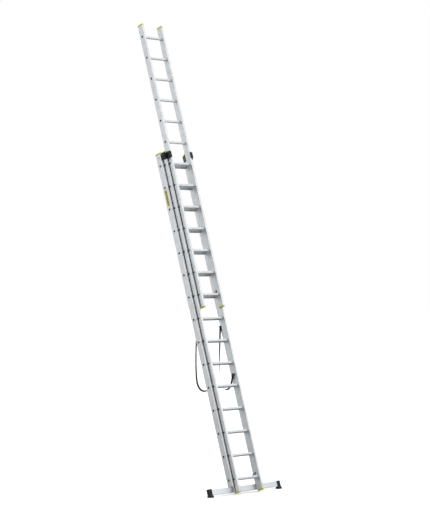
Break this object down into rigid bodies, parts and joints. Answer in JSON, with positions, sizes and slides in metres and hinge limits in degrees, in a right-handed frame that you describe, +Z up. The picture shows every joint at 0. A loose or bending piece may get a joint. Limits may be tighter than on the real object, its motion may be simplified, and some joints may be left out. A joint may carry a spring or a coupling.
{
  "type": "combination ladder",
  "caption": "Leaning aluminium ladder of three nested sliding sections, with guide brackets, a stabiliser bar, rung catches and spreader straps.",
  "frame": {"origin": "on the ground under the middle of the leaning ladder's own box", "axes": "+Z up, +X across the ladder to its right seen from the front, +Y towards the wall that the top leans on; the stiles lean 18 degrees back from upright"},
  "size_m": [1.182, 1.859, 5.6998],
  "materials": {
    "mill_aluminium": "extruded mill finish aluminium, faint die lines",
    "bar_aluminium": "bright satin anodised tube",
    "cast_alloy": "plain cast light alloy",
    "yellow_plastic": "moulded yellow-green plastic, fine texture",
    "pale_plastic": "moulded pale grey plastic",
    "black_glide_plastic": "low-friction plastic strip",
    "black_rubber": "moulded black rubber",
    "black_steel": "black powder coat",
    "grey_steel": "pressed and zinc plated steel",
    "zinc_steel": "bright zinc plate",
    "black_webbing": "woven polyester webbing",
    "printed_label": null
  },
  "bodies": {
    "rear_section": {"bar_boot_left": "black_rubber", "bar_boot_right": "black_rubber", "hinge_pin_left": "zinc_steel", "hinge_pin_right": "zinc_steel", "information_label": "printed_label", "rear_cap_left": "yellow_plastic", "rear_cap_right": "yellow_plastic", "rear_rungs": "mill_aluminium", "rear_stile_left": "mill_aluminium", "rear_stile_right": "mill_aluminium", "saddle_bolts": "zinc_steel", "saddle_left": "cast_alloy", "saddle_right": "cast_alloy", "spreader_strap_left": "black_webbing", "spreader_strap_right": "black_webbing", "stabiliser_bar": "bar_aluminium", "strap_pin_rear_left": "zinc_steel", "strap_pin_rear_right": "zinc_steel"},
    "hinge_carriage": {"hinge_bracket_left": "black_steel", "hinge_bracket_right": "black_steel"},
    "middle_section": {"front_guide_left": "black_steel", "front_guide_right": "black_steel", "middle_cap_left": "yellow_plastic", "middle_cap_right": "yellow_plastic", "middle_catch_pin_left": "zinc_steel", "middle_catch_pin_right": "zinc_steel", "middle_catch_spring_left": "zinc_steel", "middle_catch_spring_right": "zinc_steel", "middle_foot_left": "yellow_plastic", "middle_foot_right": "yellow_plastic", "middle_rungs": "mill_aluminium", "middle_shoe_left": "pale_plastic", "middle_shoe_right": "pale_plastic", "middle_stile_left": "mill_aluminium", "middle_stile_right": "mill_aluminium", "strap_pin_middle_left": "zinc_steel", "strap_pin_middle_right": "zinc_steel"},
    "front_section": {"front_cap_left": "yellow_plastic", "front_cap_right": "yellow_plastic", "front_catch_pin_left": "zinc_steel", "front_catch_pin_right": "zinc_steel", "front_catch_spring_left": "zinc_steel", "front_catch_spring_right": "zinc_steel", "front_foot_left": "yellow_plastic", "front_foot_right": "yellow_plastic", "front_rungs": "mill_aluminium", "front_stile_left": "mill_aluminium", "front_stile_right": "mill_aluminium"},
    "middle_catch_left": {"middle_catch_left": "grey_steel"},
    "middle_catch_right": {"middle_catch_right": "grey_steel"},
    "front_catch_left": {"front_catch_left": "grey_steel"},
    "front_catch_right": {"front_catch_right": "grey_steel"}
  },
  "joints": [
    {"name": "spread_hinge", "type": "hinge", "parent": "rear_section", "child": "hinge_carriage", "pos_m": [0, 0.46079, 3.99763], "axis": [-1, 0, 0], "range_deg": [0, 19], "deforming": ["spreader_strap_left", "spreader_strap_right"]},
    {"name": "middle_slide", "type": "slide", "parent": "hinge_carriage", "child": "middle_section", "axis": [0, 0.309, 0.9511], "range_m": [0, 1.12], "deforming": ["spreader_strap_left", "spreader_strap_right"]},
    {"name": "front_slide", "type": "slide", "parent": "middle_section", "child": "front_section", "axis": [0, 0.309, 0.9511], "range_m": [-2.24, 0.56]},
    {"name": "middle_catch_left_turn", "type": "hinge", "parent": "middle_section", "child": "middle_catch_left", "pos_m": [-0.169, -0.80776, 0.22289], "axis": [1, 0, 0], "range_deg": [0, 115], "stiffness_Nm_per_rad": 0.3, "springref_deg": -28.65},
    {"name": "middle_catch_right_turn", "type": "hinge", "parent": "middle_section", "child": "middle_catch_right", "pos_m": [0.169, -0.80776, 0.22289], "axis": [1, 0, 0], "range_deg": [0, 115], "stiffness_Nm_per_rad": 0.3, "springref_deg": -28.65},
    {"name": "front_catch_left_turn", "type": "hinge", "parent": "front_section", "child": "front_catch_left", "pos_m": [-0.137, -0.16977, 2.37087], "axis": [1, 0, 0], "range_deg": [0, 115], "stiffness_Nm_per_rad": 0.3, "springref_deg": -28.65},
    {"name": "front_catch_right_turn", "type": "hinge", "parent": "front_section", "child": "front_catch_right", "pos_m": [0.137, -0.16977, 2.37087], "axis": [1, 0, 0], "range_deg": [0, 115], "stiffness_Nm_per_rad": 0.3, "springref_deg": -28.65}
  ]
}
